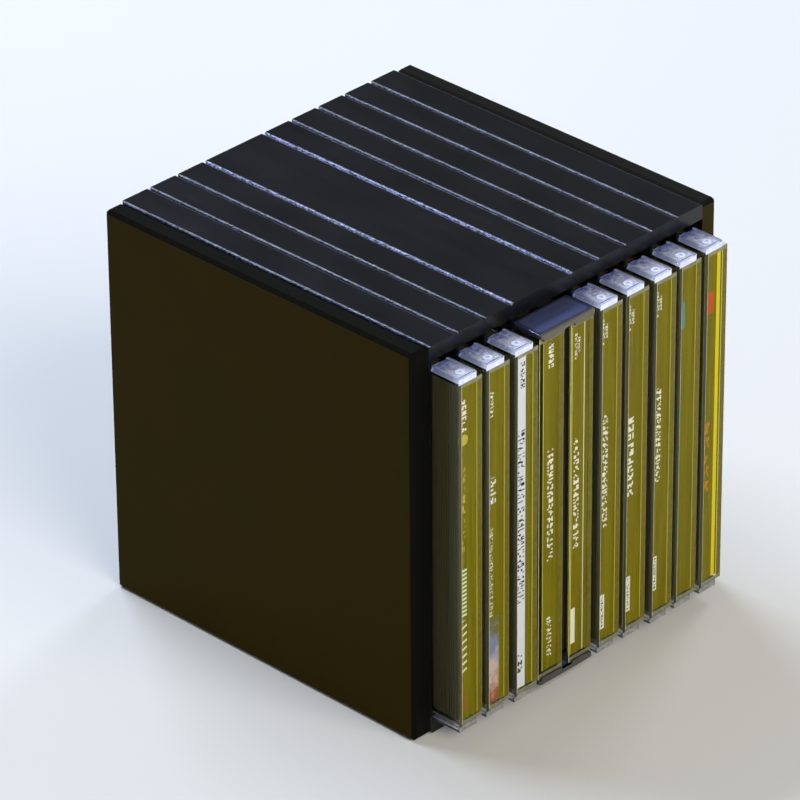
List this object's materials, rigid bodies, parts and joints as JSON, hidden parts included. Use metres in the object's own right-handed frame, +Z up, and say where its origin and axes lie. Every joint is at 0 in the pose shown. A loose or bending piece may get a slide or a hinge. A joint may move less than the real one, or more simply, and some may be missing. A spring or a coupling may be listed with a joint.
{
  "type": "disc storage box",
  "caption": "Modular box that stores compact discs in their clear cases upright and side by side, in open-fronted slots between chamfered end panels.",
  "frame": {"origin": "middle of the box's base, on the surface that it stands on", "axes": "+X to the right along the row of slots, seen from the open front; +Y from the open front to the back; +Z up"},
  "size_m": [0.136, 0.1438, 0.1373],
  "materials": {
    "panel_plastic": "fine grain, satin",
    "module_plastic": "fine grain, satin",
    "clear_plastic": "clear, polished",
    "smoky_plastic": "smoky, polished",
    "tray_plastic": "satin",
    "disc": "mirror",
    "card": "printed, satin"
  },
  "bodies": {
    "box": {"double_slot_module": "module_plastic", "left_end_panel": "panel_plastic", "right_end_panel": "panel_plastic", "right_panel_liner": "panel_plastic", "slot_module_1": "module_plastic", "slot_module_2": "module_plastic", "slot_module_3": "module_plastic", "slot_module_5": "module_plastic", "slot_module_6": "module_plastic", "slot_module_7": "module_plastic", "slot_module_8": "module_plastic", "slot_module_9": "module_plastic"},
    "case_1": {"case_1_base": "clear_plastic", "case_1_cards": "card", "case_1_disc": "disc", "case_1_lid": "clear_plastic", "case_1_tray": "tray_plastic"},
    "case_2": {"case_2_base": "clear_plastic", "case_2_cards": "card", "case_2_disc": "disc", "case_2_lid": "clear_plastic", "case_2_tray": "tray_plastic"},
    "case_3": {"case_3_base": "clear_plastic", "case_3_cards": "card", "case_3_disc": "disc", "case_3_lid": "clear_plastic", "case_3_tray": "tray_plastic"},
    "double_case": {"double_case_cards": "card", "double_case_frame": "smoky_plastic", "double_case_front_cover": "clear_plastic", "double_case_rear_cover": "clear_plastic", "double_case_rear_disc": "disc", "double_case_rear_tray": "tray_plastic", "double_case_swing_discs": "disc", "double_case_swing_tray": "tray_plastic"},
    "case_5": {"case_5_base": "clear_plastic", "case_5_cards": "card", "case_5_disc": "disc", "case_5_lid": "clear_plastic", "case_5_tray": "tray_plastic"},
    "case_6": {"case_6_base": "clear_plastic", "case_6_cards": "card", "case_6_disc": "disc", "case_6_lid": "clear_plastic", "case_6_tray": "tray_plastic"},
    "case_7": {"case_7_base": "clear_plastic", "case_7_cards": "card", "case_7_disc": "disc", "case_7_lid": "clear_plastic", "case_7_tray": "tray_plastic"},
    "case_8": {"case_8_base": "clear_plastic", "case_8_cards": "card", "case_8_disc": "disc", "case_8_lid": "clear_plastic", "case_8_tray": "tray_plastic"},
    "case_9": {"case_9_base": "clear_plastic", "case_9_cards": "card", "case_9_disc": "disc", "case_9_lid": "clear_plastic", "case_9_tray": "tray_plastic"}
  },
  "joints": [
    {"name": "case_1_slide", "type": "slide", "parent": "box", "child": "case_1", "axis": [0, -1, 0], "range_m": [0, 0.13]},
    {"name": "case_2_slide", "type": "slide", "parent": "box", "child": "case_2", "axis": [0, -1, 0], "range_m": [0, 0.13]},
    {"name": "case_3_slide", "type": "slide", "parent": "box", "child": "case_3", "axis": [0, -1, 0], "range_m": [-0.0005, 0.1295]},
    {"name": "double_case_slide", "type": "slide", "parent": "box", "child": "double_case", "axis": [0, -1, 0], "range_m": [0, 0.13]},
    {"name": "case_5_slide", "type": "slide", "parent": "box", "child": "case_5", "axis": [0, -1, 0], "range_m": [0, 0.13]},
    {"name": "case_6_slide", "type": "slide", "parent": "box", "child": "case_6", "axis": [0, -1, 0], "range_m": [0, 0.13]},
    {"name": "case_7_slide", "type": "slide", "parent": "box", "child": "case_7", "axis": [0, -1, 0], "range_m": [-0.0005, 0.1295]},
    {"name": "case_8_slide", "type": "slide", "parent": "box", "child": "case_8", "axis": [0, -1, 0], "range_m": [0, 0.13]},
    {"name": "case_9_slide", "type": "slide", "parent": "box", "child": "case_9", "axis": [0, -1, 0], "range_m": [0, 0.13]}
  ]
}
